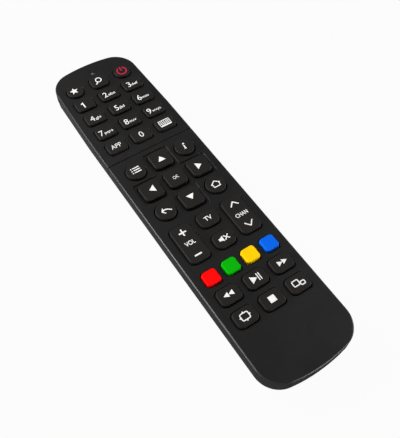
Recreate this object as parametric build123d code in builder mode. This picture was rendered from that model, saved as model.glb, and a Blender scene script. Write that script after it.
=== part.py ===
from build123d import *
from math import sqrt
import os

os.makedirs("parts", exist_ok=True)

# Remote control for a television box, in millimetres.
# X runs across the case, Y along it towards the infrared end, Z up through the keys.
# The origin lies under the middle of the case, on the surface that it rests on.

# Case seen from above
case_length = 194.0
case_width = 46.2
end_radius = 75.0
corner_radius = 12.0
narrowing = 1.0
narrowing_length = 45.0

# Case walls
skirt_height = 5.5
skirt_wall = 1.8
front_wall = 1.8
face_edge = 0.45
rear_setback = 0.4
rear_wall = 1.6
side_run = 3.0
side_rise = 9.0
floor_run = 4.0
floor_rise = 4.5
lip_height = 1.0
lip_root = 1.5
lip_thickness = 0.9
lip_gap = 0.15
lip_margin = 10.0

# Snap hooks that hold the two halves together
hook_length = 6.0
hook_height = 0.5
hook_reach = 0.45
hook_gap = 0.1
hook_spacing = 36.0
hook_count = 4

# Battery cover, its rails and its finger grip
cover_wall = 1.5
cover_gap = 0.15
cover_height = 9.0
deck_wall = 1.2
rail_reach = 1.0
rail_height = 0.8
rail_leg = 1.0
rail_margin = 3.0
rail_length = 56.0
grip_count = 6
grip_pitch = 1.8
grip_width = 0.8
grip_length = 16.0
grip_depth = 0.4

# Cells and the bay that holds them
cell_diameter = 10.5
cell_length = 44.5
cell_nub_diameter = 3.8
cell_nub_height = 0.8
cell_spacing = 11.2
cell_side_gap = 0.35
cell_floor_gap = 0.3
cell_roof_gap = 0.2
bay_wall = 1.2
bay_roof = 0.9
bay_to_end = 29.0
bay_to_cover_edge = 5.0
bay_rib_width = 1.6
bay_rib_height = 1.9
bay_rib_margin = 2.0

# Battery contacts
plate = 0.4
plate_height = 9.0
plate_width = 9.0
dimple_height = 0.5
dimple_width = 4.4
tab_width = 3.0
tab_slot_gap = 0.2
leaf_reach = 3.5
leaf_half_height = 3.8
leaf_width = 5.0
leaf_tip_gap = 0.6
seat_gap = 0.05

# Board, keypad and keys
board_gap = 0.2
board_thickness = 1.2
board_inset = 2.3
board_below_keys = 3.3
mat_thickness = 1.0
mat_gap = 0.2
mat_border = 1.0
mat_hole_gap = 0.4
key_proud = 1.2
key_travel = 0.8
key_stop_gap = 0.1
key_gap = 0.25

# Ribbed posts of the rear case under the board
post_width = 5.0
post_rib = 1.0
post_spacing = 24.0
post_above_arrows = 1.5

# Rows and columns of keys
end_to_top_row = 15.0
key_to_side = 4.45
column_gap = 3.2
number_pitch = 10.673
numbers_to_arrows = 30.89
arrow_pitch = 13.1
arrows_inwards = 0.6
corner_keys_inwards = 0.1
arrows_to_rockers = 32.62
side_key_pitch = 12.4
rockers_to_colours = 18.6
colours_outwards = 1.6
colours_to_play = 10.5
play_to_stop = 11.2

# Width, height and corner radius of each kind of key
number_width = (case_width - 2 * key_to_side - 2 * column_gap) / 3
round_key = (9.0, 9.0, 4.5)
search_key = (9.6, 9.0, 3.0)
number_key = (number_width, 7.9, 1.9)
menu_key = (10.0, 10.0, 5.0)
arrow_key = (10.4, 10.4, 2.2)
ok_key = (9.8, 9.8, 2.2)
rocker_key = (10.6, 20.4, 2.6)
side_key = (10.4, 8.6, 3.0)
colour_key = (7.3, 7.3, 1.6)
play_key = (10.5, 8.2, 2.2)

# Relief of the face
recess_depth = 0.5
recess_border = 1.3
recess_corner = 0.8
groove_width = 0.5
groove_depth = 0.35
numbers_to_groove = 8.7

# Status light
end_to_status = 7.95
pipe_diameter = 1.5
pipe_gap = 0.05
pipe_proud = 0.1
status_led_size = (1.6, 0.8, 0.6)

# Infrared window and emitter
window_width = 16.0
window_height = 3.1
window_thickness = 1.55
window_gap = 0.1
emitter_diameter = 3.0
emitter_nose = 0.7
emitter_length = 4.7
emitter_gap = 0.25
lead_width = 0.5
lead_pitch = 2.54
lead_length = 6.0

# Parts on the underside of the board
chip_length = 10.3
chip_width = 7.5
chip_height = 2.3
chip_lead_count = 8
chip_lead_pitch = 1.27
chip_lead_width = 0.45
chip_lead_reach = 1.4
chip_lead_thickness = 0.3
resonator_length = 7.4
resonator_width = 3.0
resonator_height = 3.4
capacitor_diameter = 5.0
capacitor_height = 7.0
transistor_diameter = 4.6
transistor_flat = 1.3
transistor_height = 4.8
transistor_stand = 1.2
resistor_size = (2.0, 1.25, 0.5)
resistor_pitch = 3.2
resistor_count = 5

# Heights, from the surface under the case up to the key tops
cell_axis = cover_wall + cell_floor_gap + cell_diameter / 2
roof_bottom = cell_axis + cell_diameter / 2 + cell_roof_gap
board_bottom = roof_bottom + bay_roof + board_gap
board_top = board_bottom + board_thickness
mat_top = board_top + mat_thickness
face_back = mat_top + mat_gap
face_height = face_back + front_wall
parting = face_height - skirt_height
key_bottom = board_top + key_travel + key_stop_gap
key_top = face_height + key_proud

# Places along the case
infrared_end = case_length / 2
top_row = infrared_end - end_to_top_row
zero_row = top_row - 4 * number_pitch
arrow_row = zero_row - numbers_to_arrows
rocker_row = arrow_row - arrows_to_rockers
colour_row = rocker_row - rockers_to_colours
play_row = colour_row - colours_to_play
stop_row = play_row - play_to_stop
groove_place = zero_row - numbers_to_groove
status_place = infrared_end - end_to_status
bay_low = bay_to_end - case_length / 2
bay_length = 2 * plate + leaf_reach + cell_length + dimple_height + 4 * seat_gap
bay_high = bay_low + bay_length
cover_edge = bay_high + bay_to_cover_edge
bay_half = cell_spacing / 2 + cell_diameter / 2 + cell_side_gap
emitter_tip = infrared_end - window_gap - window_thickness - emitter_gap
emitter_base = emitter_tip - emitter_length
board_high = emitter_base - board_gap
board_low = stop_row - play_key[1] / 2 - board_below_keys
mat_high = top_row + round_key[1] / 2 + mat_hole_gap + mat_border / 2
mat_low = board_low + mat_border
post_rows = (top_row - number_pitch / 2, arrow_row + post_above_arrows)
shoulder = case_length / 2 - narrowing_length

# Places across the case
column_pitch = number_width + column_gap
arrow_reach = column_pitch - arrows_inwards
corner_key_reach = column_pitch - corner_keys_inwards
colour_reach = column_pitch + colours_outwards

# Every key: its centre, its width and height, and its corner radius
keys = {}


def place_keys(row, names, columns, size):
    for name, column in zip(names, columns):
        keys[name] = (column, row, *size)


three = (-column_pitch, 0, column_pitch)
corners = (-corner_key_reach, corner_key_reach)
place_keys(top_row, ["favourite", "power"], (-column_pitch, column_pitch), round_key)
place_keys(top_row, ["search"], [0], search_key)
place_keys(top_row - number_pitch, ["1", "2", "3"], three, number_key)
place_keys(top_row - 2 * number_pitch, ["4", "5", "6"], three, number_key)
place_keys(top_row - 3 * number_pitch, ["7", "8", "9"], three, number_key)
place_keys(zero_row, ["app", "0", "keyboard"], three, number_key)
place_keys(arrow_row + arrow_pitch, ["menu", "info"], corners, menu_key)
place_keys(arrow_row - arrow_pitch, ["back", "home"], corners, menu_key)
place_keys(arrow_row + arrow_pitch, ["up"], [0], arrow_key)
place_keys(arrow_row, ["left", "right"], (-arrow_reach, arrow_reach), arrow_key)
place_keys(arrow_row - arrow_pitch, ["down"], [0], arrow_key)
place_keys(arrow_row, ["ok"], [0], ok_key)
place_keys(rocker_row, ["volume", "channel"], (-column_pitch, column_pitch), rocker_key)
place_keys(rocker_row + side_key_pitch / 2, ["tv"], [0], side_key)
place_keys(rocker_row - side_key_pitch / 2, ["mute"], [0], side_key)
colour_columns = [colour_reach * step for step in (-1, -1 / 3, 1 / 3, 1)]
place_keys(colour_row, ["red", "green", "yellow", "blue"], colour_columns, colour_key)
place_keys(play_row, ["rewind", "play", "forward"], three, play_key)
place_keys(stop_row, ["zoom", "stop", "picture"], three, play_key)
rockers = ("volume", "channel")


def write(form, name):
    form.part.label = name
    export_step(form.part, f"parts/{name}.step")


# Outline of the case seen from above, drawn in by an inset all round
def case_outline(inset):
    half = case_width / 2
    end_half = half - narrowing
    low = -case_length / 2 + end_radius - sqrt(end_radius**2 - half**2)
    high = case_length / 2 - end_radius + sqrt(end_radius**2 - end_half**2)
    with BuildSketch() as outline:
        with BuildLine():
            ThreePointArc((-half, low), (0, -case_length / 2), (half, low))
            Line((half, low), (half, shoulder))
            Line((half, shoulder), (end_half, high))
            ThreePointArc((end_half, high), (0, case_length / 2), (-end_half, high))
            Line((-end_half, high), (-half, shoulder))
            Line((-half, shoulder), (-half, low))
        make_face()
        ends = [corner for corner in outline.vertices() if abs(corner.Y) > shoulder + 1]
        fillet(ends, corner_radius)
        if inset:
            offset(amount=-inset)
    return outline.sketch


# Underside of the case below the parting plane, drawn in by an inset
def belly(inset):
    bevels = ((side_run, side_rise), (floor_run, floor_rise))
    with BuildPart() as form:
        with BuildSketch(Plane.XY.offset(parting)):
            add(case_outline(rear_setback + inset))
        extrude(amount=inset - parting)
        for run, rise in bevels:
            floor = form.faces().sort_by(Axis.Z)[0]
            chamfer(floor.edges(), run - inset / 2, rise - inset / 2, reference=floor)
    return form.part


# Half width of that underside at one height
def belly_side(height, inset):
    rise = side_rise - inset / 2
    slope = (side_run - inset / 2) / rise
    return case_width / 2 - rear_setback - inset - slope * max(0, inset + rise - height)


# Stretch of that underside from its lower end up to one place and one height
def belly_span(inset, high, top):
    with BuildPart() as span:
        add(belly(inset))
        with BuildSketch():
            with Locations((0, high)):
                Rectangle(2 * case_width, case_length, align=(Align.CENTER, Align.MAX))
        extrude(amount=top, mode=Mode.INTERSECT)
    return span.part


def key_outline(name):
    column, row, width, height, corner = keys[name]
    with BuildSketch() as outline:
        with Locations((column, row)):
            if 2 * corner >= height:
                Circle(width / 2)
            else:
                RectangleRounded(width, height, corner)
    return outline.sketch


# Hole of one key in the face: round, or with corners cut off just clear of the key's
def key_hole(name):
    column, row, width, height, corner = keys[name]
    with BuildSketch() as hole:
        with Locations((column, row)):
            if 2 * corner >= height:
                Circle(width / 2 + key_gap)
            else:
                Rectangle(width + 2 * key_gap, height + 2 * key_gap)
                chamfer(hole.vertices(), (corner + key_gap) * (2 - sqrt(2)))
    return hole.sketch


# Front case: face, skirt, key holes, the sunk cross and, above it, a groove in each side wall
lip_low = corner_radius + lip_margin - case_length / 2
lip_middle = (lip_low + shoulder) / 2
hook_places = [
    lip_middle + hook_spacing * (step - (hook_count - 1) / 2) for step in range(hook_count)
]
hook_bottom = parting + lip_height - hook_height
cross_reach = arrow_reach + arrow_key[0] / 2 + recess_border
cross_half = arrow_key[1] / 2 + recess_border

with BuildPart() as front_case:
    with BuildSketch(Plane.XY.offset(parting)):
        add(case_outline(0))
    extrude(amount=skirt_height)
    chamfer(front_case.faces().sort_by(Axis.Z)[-1].edges(), face_edge)
    with BuildSketch(Plane.XY.offset(parting)):
        add(case_outline(skirt_wall))
    extrude(amount=skirt_height - front_wall, mode=Mode.SUBTRACT)

    with BuildSketch(Plane.XY.offset(face_height)) as cross:
        with Locations((0, arrow_row)):
            Rectangle(2 * cross_reach, 2 * cross_half)
            Rectangle(2 * cross_half, 2 * cross_reach)
        chamfer(cross.vertices(), recess_corner)
    extrude(amount=-recess_depth, mode=Mode.SUBTRACT)

    with BuildSketch(Plane.XZ.offset(-groove_place)):
        with Locations((0, face_height)):
            Rectangle(2 * case_width, 4 * skirt_height)
            Rectangle(
                case_width - 2 * groove_depth,
                2 * groove_depth,
                align=(Align.CENTER, Align.MAX),
                mode=Mode.SUBTRACT,
            )
        with Locations((0, face_height - groove_depth)):
            Rectangle(
                case_width - 2 * groove_depth,
                4 * skirt_height,
                align=(Align.CENTER, Align.MAX),
                mode=Mode.SUBTRACT,
            )
    extrude(amount=groove_width / 2, both=True, mode=Mode.SUBTRACT)

    with BuildSketch(Plane.XY.offset(face_back)):
        for name in keys:
            add(key_hole(name))
        with Locations((0, status_place)):
            Circle(pipe_diameter / 2 + pipe_gap)
    extrude(amount=front_wall, mode=Mode.SUBTRACT)

    with BuildSketch(Plane.XY.offset(parting)):
        with Locations((0, infrared_end)):
            Rectangle(window_width + 2 * window_gap, 4 * skirt_wall)
    extrude(amount=window_height + 2 * window_gap, mode=Mode.SUBTRACT)

    pocket = hook_reach - lip_gap + hook_gap
    with BuildSketch(Plane.XY.offset(hook_bottom - hook_gap)):
        for side in (-1, 1):
            for place in hook_places:
                with Locations((side * (case_width / 2 - skirt_wall), place)):
                    Rectangle(2 * pocket, hook_length + 2 * hook_gap)
    extrude(amount=hook_height + 2 * hook_gap, mode=Mode.SUBTRACT)
write(front_case, "front_case")


# Rails: a lip along each side of the cover runs over the foot of a rail under the deck
rail_top = cover_height - cover_gap
rail_tip = belly_side(rail_top - rail_height / 2, cover_wall) - rail_reach
foot_top = rail_top - rail_height - cover_gap
foot_bottom = foot_top - rail_height
foot_tip = belly_side(foot_bottom, cover_wall) - cover_gap
rail_high = cover_edge - rail_margin
rail_low = rail_high - rail_length

# Hollow of the rear case: deep in the upper half, above the deck in the lower half
bulkhead = cover_edge + rear_wall
with BuildPart() as hollow:
    add(belly(rear_wall))
    add(belly_span(0, bulkhead, cover_height + deck_wall), mode=Mode.SUBTRACT)

bay_middle = (bay_low + bay_high) / 2
bay_bottom = cover_wall + cover_gap
lip_side = case_width / 2 - skirt_wall - lip_gap
post_places = [(side * post_spacing / 2, row) for side in (-1, 1) for row in post_rows]

with BuildPart() as rear_case:
    add(belly(0))
    add(belly_span(0, cover_edge, cover_height), mode=Mode.SUBTRACT)
    add(hollow.part, mode=Mode.SUBTRACT)

    with BuildSketch(Plane.XY.offset(bay_bottom)):
        with Locations((0, bay_middle)):
            Rectangle(2 * (bay_half + bay_wall), bay_length + 2 * bay_wall)
    extrude(amount=roof_bottom + bay_roof - bay_bottom)
    with BuildSketch(Plane.XY.offset(bay_bottom)):
        with Locations((0, bay_middle)):
            Rectangle(2 * bay_half, bay_length)
    extrude(amount=roof_bottom - bay_bottom, mode=Mode.SUBTRACT)
    with BuildSketch(Plane.XY.offset(roof_bottom)):
        with Locations((0, bay_middle)):
            Rectangle(bay_rib_width, bay_length - 2 * bay_rib_margin)
    extrude(amount=-bay_rib_height)
    with BuildSketch(Plane.XY.offset(roof_bottom)):
        for side in (-1, 1):
            with Locations((side * cell_spacing / 2, bay_high)):
                slot = (tab_width + 2 * tab_slot_gap, plate + seat_gap + tab_slot_gap)
                Rectangle(*slot, align=(Align.CENTER, Align.MAX))
    extrude(amount=bay_roof, mode=Mode.SUBTRACT)

    with BuildSketch(Plane.XZ.offset(-rail_high)):
        for side, align in ((-1, Align.MIN), (1, Align.MAX)):
            with Locations((side * (rail_tip - cover_gap), foot_bottom)):
                Rectangle(rail_leg, cover_height - foot_bottom, align=(align, Align.MIN))
            with Locations((side * foot_tip, foot_bottom)):
                foot = (foot_tip - rail_tip + rail_leg, foot_top - foot_bottom)
                Rectangle(*foot, align=(align, Align.MIN))
    extrude(amount=rail_length)

    for height, reach in ((-lip_root, lip_gap + rear_wall / 2), (lip_height, 0)):
        with BuildSketch(Plane.XY.offset(parting)):
            for side, align in ((-1, Align.MIN), (1, Align.MAX)):
                with Locations((side * (lip_side + reach), lip_middle)):
                    lip = (lip_thickness + reach, shoulder - lip_low)
                    Rectangle(*lip, align=(align, Align.CENTER))
        extrude(amount=height)
    with BuildSketch(Plane.XY.offset(hook_bottom)):
        for side, align in ((-1, Align.MIN), (1, Align.MAX)):
            hook = (hook_reach + lip_thickness, hook_length)
            with Locations(*[(side * (lip_side + hook_reach), place) for place in hook_places]):
                Rectangle(*hook, align=(align, Align.CENTER))
    extrude(amount=hook_height)

    with BuildSketch(Plane.XY.offset(rear_wall / 2)):
        with Locations(*post_places):
            Rectangle(post_width, post_rib)
            Rectangle(post_rib, post_width)
    extrude(amount=board_bottom - rear_wall / 2)
write(rear_case, "rear_case")


# Battery cover: slides off over the lower end on two rails
with BuildPart() as battery_cover:
    add(belly_span(0, cover_edge - cover_gap, rail_top))
    add(belly(cover_wall), mode=Mode.SUBTRACT)
    with BuildSketch(Plane.XY.offset(rail_top)):
        for side, align in ((-1, Align.MAX), (1, Align.MIN)):
            with Locations((side * rail_tip, (rail_low + rail_high) / 2)):
                rail = (rail_reach + cover_wall / 2, rail_length)
                Rectangle(*rail, align=(align, Align.CENTER))
    extrude(amount=-rail_height)
    with BuildSketch():
        with Locations((0, cover_edge - rail_margin - grip_pitch * grip_count / 2)):
            with GridLocations(0, grip_pitch, 1, grip_count):
                Rectangle(grip_length, grip_width)
    extrude(amount=grip_depth, mode=Mode.SUBTRACT)
write(battery_cover, "battery_cover")


# Infrared window, bowed like the end that it closes
with BuildPart() as ir_window:
    with BuildSketch(Plane.XY.offset(parting + window_gap)):
        add(case_outline(window_gap))
        add(case_outline(window_gap + window_thickness), mode=Mode.SUBTRACT)
        with Locations((0, infrared_end)):
            Rectangle(window_width, 8 * window_thickness, mode=Mode.INTERSECT)
    extrude(amount=window_height)
write(ir_window, "ir_window")


# Light pipe over the status light
with BuildPart() as status_light_pipe:
    pipe_bottom = board_top + status_led_size[2] + pipe_gap
    with BuildSketch(Plane.XY.offset(pipe_bottom)):
        with Locations((0, status_place)):
            Circle(pipe_diameter / 2)
    extrude(amount=face_height + pipe_proud - pipe_bottom)
write(status_light_pipe, "status_light_pipe")

with BuildPart() as status_led:
    with BuildSketch(Plane.XY.offset(board_top)):
        with Locations((0, status_place)):
            Rectangle(*status_led_size[:2])
    extrude(amount=status_led_size[2])
write(status_led, "status_led")


# Silicone keypad sheet on the board, open under every key
with BuildPart() as keypad_mat:
    with BuildSketch(Plane.XY.offset(board_top)):
        add(case_outline(board_inset))
        with Locations((0, (mat_low + mat_high) / 2)):
            Rectangle(case_width, mat_high - mat_low, mode=Mode.INTERSECT)
        for column, row, width, height, corner in keys.values():
            with Locations((column, row)):
                opening = (width + 2 * mat_hole_gap, height + 2 * mat_hole_gap)
                Rectangle(*opening, mode=Mode.SUBTRACT)
    extrude(amount=mat_thickness)
write(keypad_mat, "keypad_mat")


# Circuit board on the posts of the rear case
with BuildPart() as circuit_board:
    with BuildSketch(Plane.XY.offset(board_bottom)):
        add(case_outline(board_inset))
        with Locations((0, (board_low + board_high) / 2)):
            Rectangle(case_width, board_high - board_low, mode=Mode.INTERSECT)
    extrude(amount=board_thickness)
write(circuit_board, "circuit_board")


# Keys: each stands in its hole, over the board by its travel
for name in keys:
    with BuildPart() as key:
        with BuildSketch(Plane.XY.offset(key_bottom)):
            add(key_outline(name))
        extrude(amount=key_top - key_bottom)
    write(key, f"{name}_rocker" if name in rockers else f"key_{name}")


# Cells, each with the nub of its positive end
def make_cell(column, flat_end, towards):
    nub_end = flat_end + towards * cell_length
    shoulder_end = nub_end - towards * cell_nub_height
    with BuildPart() as cell:
        with BuildSketch(Plane.XZ.offset(-flat_end)):
            with Locations((column, cell_axis)):
                Circle(cell_diameter / 2)
        extrude(amount=-towards * abs(shoulder_end - flat_end))
        with BuildSketch(Plane.XZ.offset(-shoulder_end)):
            with Locations((column, cell_axis)):
                Circle(cell_nub_diameter / 2)
        extrude(amount=-towards * cell_nub_height)
    return cell


# A cell lies between a leaf spring at its flat end and a dimple at its nub
leaf_seat = plate + leaf_reach + 2 * seat_gap
left_flat = bay_low + leaf_seat
right_flat = bay_high - leaf_seat
write(make_cell(-cell_spacing / 2, left_flat, 1), "battery_left")
write(make_cell(cell_spacing / 2, right_flat, -1), "battery_right")


# Contact plate on an end wall of the bay, with leaf springs, dimples and board tabs
def contact_plate(columns, wall, inwards, leaves=(), dimples=(), tabs=()):
    plate_bottom = cell_axis - plate_height / 2
    face = wall + inwards * (seat_gap + plate)
    leaf_radius = (leaf_half_height**2 + leaf_reach**2) / (2 * leaf_reach)
    leaf_centre = face + inwards * (leaf_reach - leaf_radius)
    with BuildPart() as contact:
        with BuildSketch(Plane.XZ.offset(-face)):
            left, right = min(columns), max(columns)
            with Locations(((left + right) / 2, plate_bottom)):
                wide = right - left + plate_width
                Rectangle(wide, plate_height, align=(Align.CENTER, Align.MIN))
            for column in tabs:
                with Locations((column, plate_bottom)):
                    tab = (tab_width, board_bottom - seat_gap - plate_bottom)
                    Rectangle(*tab, align=(Align.CENTER, Align.MIN))
        extrude(amount=inwards * plate)
        for column in dimples:
            with BuildSketch(Plane.XZ.offset(-face)):
                with Locations((column, cell_axis)):
                    Rectangle(dimple_width, dimple_width)
            extrude(amount=-inwards * dimple_height)
        for column in leaves:
            with BuildSketch(Plane.YZ.offset(column)):
                with Locations((leaf_centre, cell_axis)):
                    Circle(leaf_radius)
                    Circle(leaf_radius - plate, mode=Mode.SUBTRACT)
                with Locations((face - inwards * plate, cell_axis - plate_height / 2)):
                    kept = (plate + leaf_reach, plate_height / 2 + leaf_half_height - leaf_tip_gap)
                    side = Align.MIN if inwards > 0 else Align.MAX
                    Rectangle(*kept, align=(side, Align.MIN), mode=Mode.INTERSECT)
            extrude(amount=leaf_width / 2, both=True)
    return contact


left, right = -cell_spacing / 2, cell_spacing / 2
bridge = contact_plate([left, right], bay_low, 1, leaves=[left], dimples=[right])
positive = contact_plate([left], bay_high, -1, dimples=[left], tabs=[left])
negative = contact_plate([right], bay_high, -1, leaves=[right], tabs=[right])
write(bridge, "contact_bridge")
write(positive, "contact_positive")
write(negative, "contact_negative")


# Infrared emitter with its two leads under the board
emitter_axis = board_bottom - seat_gap - lead_width / 2
with BuildPart() as ir_led:
    with BuildSketch(Plane.XZ.offset(-emitter_base)):
        with Locations((0, emitter_axis)):
            Circle(emitter_diameter / 2)
    extrude(amount=-emitter_length)
    chamfer(ir_led.faces().sort_by(Axis.Y)[-1].edges(), emitter_nose)
    with BuildSketch(Plane.XZ.offset(-emitter_base)):
        with Locations((-lead_pitch / 2, emitter_axis), (lead_pitch / 2, emitter_axis)):
            Rectangle(lead_width, lead_width)
    extrude(amount=lead_length)
write(ir_led, "ir_led")


# Parts on the underside of the board
under_board = Plane.XY.offset(board_bottom)
with BuildPart() as controller_chip:
    with BuildSketch(under_board.offset(-chip_lead_thickness)):
        with Locations((0, top_row - 3.5 * number_pitch)):
            Rectangle(chip_length, chip_width)
    extrude(amount=-chip_height)
    chamfer(controller_chip.faces().sort_by(Axis.Z)[0].edges(), chip_lead_thickness)
    with BuildSketch(under_board):
        with Locations((0, top_row - 3.5 * number_pitch)):
            with GridLocations(chip_lead_pitch, 0, chip_lead_count, 1):
                Rectangle(chip_lead_width, chip_width + 2 * chip_lead_reach)
    extrude(amount=-chip_lead_thickness)
write(controller_chip, "controller_chip")

with BuildPart() as resonator:
    with BuildSketch(under_board):
        with Locations((0, top_row - 5 * number_pitch)):
            Rectangle(resonator_length, resonator_width)
    extrude(amount=-resonator_height)
write(resonator, "resonator")

with BuildPart() as buffer_capacitor:
    with BuildSketch(under_board):
        with Locations((-column_pitch / 2, top_row - number_pitch)):
            Circle(capacitor_diameter / 2)
    extrude(amount=-capacitor_height)
write(buffer_capacitor, "buffer_capacitor")

with BuildPart() as led_transistor:
    place = (column_pitch / 2, top_row - number_pitch)
    with BuildSketch(under_board.offset(-transistor_stand)):
        with Locations(place):
            Circle(transistor_diameter / 2)
        with Locations((place[0], place[1] + transistor_flat)):
            Rectangle(
                transistor_diameter,
                transistor_diameter,
                align=(Align.CENTER, Align.MIN),
                mode=Mode.SUBTRACT,
            )
    extrude(amount=-transistor_height)
    with BuildSketch(under_board):
        with Locations(place):
            with GridLocations(chip_lead_pitch, 0, 3, 1):
                Rectangle(chip_lead_width, chip_lead_width)
    extrude(amount=-transistor_stand)
write(led_transistor, "led_transistor")

with BuildPart() as chip_resistors:
    with BuildSketch(under_board):
        with Locations((0, top_row - 1.5 * number_pitch)):
            with GridLocations(resistor_pitch, 0, resistor_count, 1):
                Rectangle(resistor_size[1], resistor_size[0])
    extrude(amount=-resistor_size[2])
write(chip_resistors, "chip_resistors")
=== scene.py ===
from math import cos, hypot, radians, sin, tan

import bmesh
import bpy
from mathutils import Matrix, Vector


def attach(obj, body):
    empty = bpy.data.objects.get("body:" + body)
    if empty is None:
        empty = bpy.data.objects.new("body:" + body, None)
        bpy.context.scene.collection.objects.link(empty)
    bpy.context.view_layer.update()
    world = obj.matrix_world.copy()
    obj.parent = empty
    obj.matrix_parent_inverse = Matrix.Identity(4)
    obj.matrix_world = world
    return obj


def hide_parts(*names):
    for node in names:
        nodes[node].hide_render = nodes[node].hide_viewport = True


# Remote control for a television box: the finishes, the soft keys and the printed signs
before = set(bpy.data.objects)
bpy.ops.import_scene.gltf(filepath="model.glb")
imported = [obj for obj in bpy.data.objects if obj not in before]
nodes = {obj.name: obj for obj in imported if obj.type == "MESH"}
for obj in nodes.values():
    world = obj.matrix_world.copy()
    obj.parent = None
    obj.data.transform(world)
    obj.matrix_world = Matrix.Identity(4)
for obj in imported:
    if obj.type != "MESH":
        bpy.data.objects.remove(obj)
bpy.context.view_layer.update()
mm = 0.001
sameSpot = 0.01  # ends of an edge this near each other count as level, in millimetres
towards = 0.9  # a face looks along an axis when this much of its normal does
print("loaded", len(nodes), "measured parts")


# Small helpers for selecting, placing and editing
def deselectAll():
    if bpy.context.mode != "OBJECT":
        bpy.ops.object.mode_set(mode="OBJECT")
    bpy.ops.object.select_all(action="DESELECT")


def selectOnly(piece):
    deselectAll()
    piece.select_set(True)
    bpy.context.view_layer.objects.active = piece


def addObject(name, data):
    piece = bpy.data.objects.new(name, data)
    bpy.context.scene.collection.objects.link(piece)
    return piece


def applyPlace(piece):
    selectOnly(piece)
    bpy.ops.object.transform_apply(location=True, rotation=True, scale=True)


def shiftMesh(piece, x, y, z=0):  # moves a mesh inside its object, in millimetres
    piece.data.transform(Matrix.Translation((x * mm, y * mm, z * mm)))


def startEdit(piece, kind, wanted):  # edit mode with only the wanted corners, edges or faces selected
    selectOnly(piece)
    bpy.ops.object.mode_set(mode="EDIT")
    bpy.ops.mesh.select_mode(type=kind)
    bpy.ops.mesh.select_all(action="DESELECT")
    mesh = bmesh.from_edit_mesh(piece.data)
    mesh.normal_update()
    for part in {"VERT": mesh.verts, "EDGE": mesh.edges, "FACE": mesh.faces}[kind]:
        if wanted(part):
            part.select_set(True)
    bmesh.update_edit_mesh(piece.data)


def endEdit():
    bpy.ops.object.mode_set(mode="OBJECT")


def mergeCorners(piece, reach):  # joins corners that lie this close, in millimetres
    startEdit(piece, "VERT", lambda corner: True)
    bpy.ops.mesh.remove_doubles(threshold=reach * mm)
    endEdit()


def bendsBy(edge, low, high=360):  # whether the faces at an edge meet at an angle in this range
    return edge.is_manifold and radians(low) < edge.calc_face_angle() < radians(high)


def addModifier(piece, kind, **values):
    selectOnly(piece)
    modifier = piece.modifiers.new(kind.lower(), kind)
    for name, value in values.items():
        setattr(modifier, name, value)
    bpy.ops.object.modifier_apply(modifier=modifier.name)


def smoothShade(piece, angle):
    selectOnly(piece)
    bpy.ops.object.shade_smooth_by_angle(angle=radians(angle))


def shadeByArea(piece):  # wide faces look flat and their narrow rims blend into them
    smoothShade(piece, 60)
    addModifier(piece, "WEIGHTED_NORMAL", mode="FACE_AREA", weight=100, keep_sharp=True)


def setMaterial(piece, material):
    piece.data.materials.clear()
    piece.data.materials.append(material)


# Small helpers for shader trees
def addNode(tree, kind, **values):
    node = tree.nodes.new(kind)
    for name, value in values.items():
        setattr(node, name, value)
    return node


def feed(tree, socket, value):  # a socket takes a colour, a number or the output of a node
    if isinstance(value, tuple):
        socket.default_value = (*value, 1.0)
    elif isinstance(value, (int, float)):
        socket.default_value = value
    else:
        tree.links.new(value, socket)


def objectPlace(tree):
    return addNode(tree, "ShaderNodeTexCoord").outputs["Object"]


def splitAxis(tree, vector, axis):
    node = addNode(tree, "ShaderNodeSeparateXYZ")
    tree.links.new(vector, node.inputs[0])
    return node.outputs[axis]


def facingUp(tree):
    return splitAxis(tree, addNode(tree, "ShaderNodeNewGeometry").outputs["Normal"], "Z")


def addMath(tree, operation, first, second):
    node = addNode(tree, "ShaderNodeMath", operation=operation)
    feed(tree, node.inputs[0], first)
    feed(tree, node.inputs[1], second)
    return node.outputs[0]


def addNoise(tree, scale, detail, roughness=0.5):
    noise = addNode(tree, "ShaderNodeTexNoise")
    tree.links.new(objectPlace(tree), noise.inputs["Vector"])
    for label, value in (("Scale", scale), ("Detail", detail), ("Roughness", roughness)):
        feed(tree, noise.inputs[label], value)
    return noise.outputs["Fac"]


def mapRange(tree, value, low, high, toLow=0.0, toHigh=1.0):
    node = addNode(tree, "ShaderNodeMapRange", clamp=True)
    tree.links.new(value, node.inputs["Value"])
    for label, number in (("From Min", low), ("From Max", high), ("To Min", toLow), ("To Max", toHigh)):
        node.inputs[label].default_value = number
    return node.outputs["Result"]


def mixColour(tree, mask, first, second):  # sockets 6, 7 and 2 of a mix node are those for colour
    node = addNode(tree, "ShaderNodeMix", data_type="RGBA")
    tree.links.new(mask, node.inputs["Factor"])
    feed(tree, node.inputs[6], first)
    feed(tree, node.inputs[7], second)
    return node.outputs[2]


def addBump(tree, shader, height, values):
    bump = addNode(tree, "ShaderNodeBump")
    bump.inputs["Strength"].default_value = values["bump"]
    bump.inputs["Distance"].default_value = values["bumpDistance"]
    tree.links.new(height, bump.inputs["Height"])
    tree.links.new(bump.outputs["Normal"], shader.inputs["Normal"])


def newMaterial(name):
    material = bpy.data.materials.new(name)
    material.use_nodes = True
    tree = material.node_tree
    tree.nodes.clear()
    shader = addNode(tree, "ShaderNodeBsdfPrincipled")
    output = addNode(tree, "ShaderNodeOutputMaterial")
    tree.links.new(shader.outputs["BSDF"], output.inputs["Surface"])
    return material, tree, shader


def newGroup(name, inputs, outputs):
    group = bpy.data.node_groups.new(name, "ShaderNodeTree")
    for label, value in inputs.items():
        group.interface.new_socket(name=label, in_out="INPUT", socket_type="NodeSocketFloat")
        group.interface.items_tree[label].default_value = value
    for label in outputs:
        group.interface.new_socket(name=label, in_out="OUTPUT", socket_type="NodeSocketFloat")
    start = group.nodes.new("NodeGroupInput")
    end = group.nodes.new("NodeGroupOutput")
    return group, start, end


def placeGroup(tree, group, values):
    node = addNode(tree, "ShaderNodeGroup", node_tree=group)
    for label, value in values.items():
        node.inputs[label].default_value = value
    return node


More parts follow.
